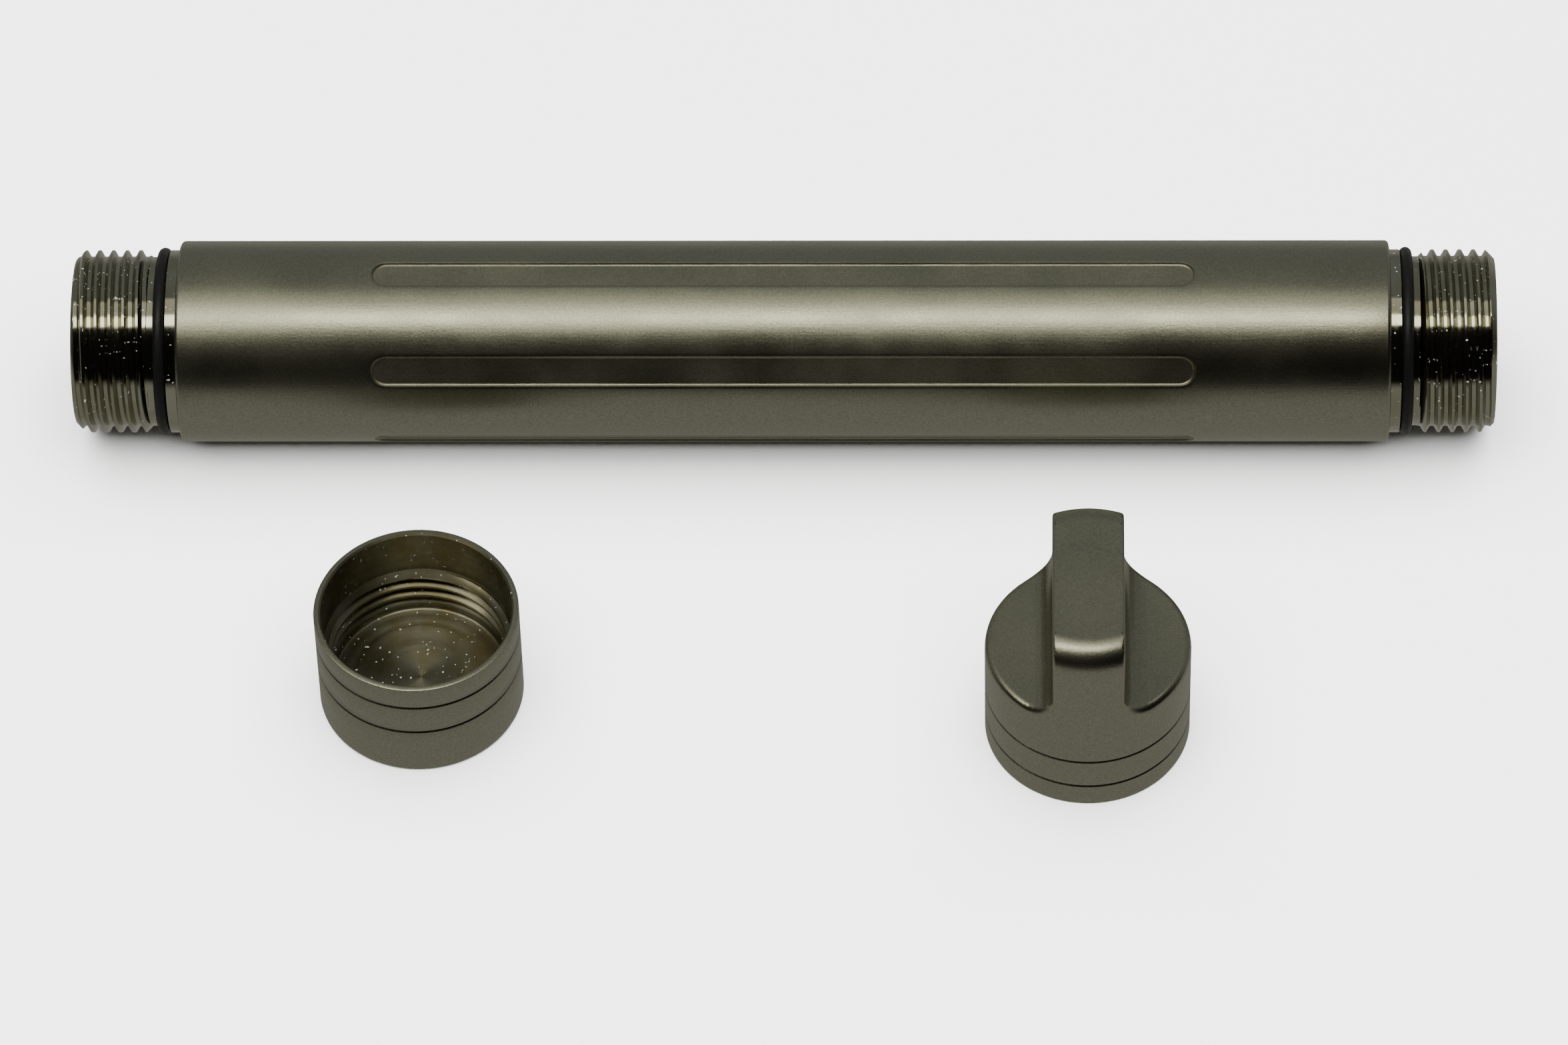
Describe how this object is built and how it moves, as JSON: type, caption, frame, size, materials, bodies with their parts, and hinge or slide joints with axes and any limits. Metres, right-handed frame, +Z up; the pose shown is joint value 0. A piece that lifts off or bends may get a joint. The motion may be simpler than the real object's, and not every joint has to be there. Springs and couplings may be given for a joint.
{
  "type": "screw-cap storage tube",
  "caption": "Fluted titanium tube threaded and sealed at both ends, with a plain screw cap and a finned screw cap standing beside it.",
  "frame": {"origin": "on the tube's own axis at the middle of its length", "axes": "+X along the tube, towards the end on the finned cap's side; +Z up from the table, which is at z = -11 mm; the caps stand on the -Y side"},
  "size_m": [0.155, 0.0661, 0.025],
  "materials": {
    "satin_titanium": "fine bead-blasted satin, slightly warm grey",
    "turned_titanium": "bright as turned on the threads and insides, satin on the outside",
    "seal_rubber": "smooth black, lightly greased"
  },
  "bodies": {
    "tube": {"tube": "satin_titanium", "left_sealing_ring": "seal_rubber", "right_sealing_ring": "seal_rubber"},
    "plain_cap": {"plain_cap": "turned_titanium"},
    "fin_cap": {"fin_cap": "turned_titanium"}
  },
  "joints": [
    {"name": "plain_cap_lift", "type": "slide", "parent": "tube", "child": "plain_cap", "axis": [0, 0, 1], "range_m": [0, 0.06]},
    {"name": "fin_cap_lift", "type": "slide", "parent": "tube", "child": "fin_cap", "axis": [0, 0, 1], "range_m": [0, 0.06]}
  ]
}
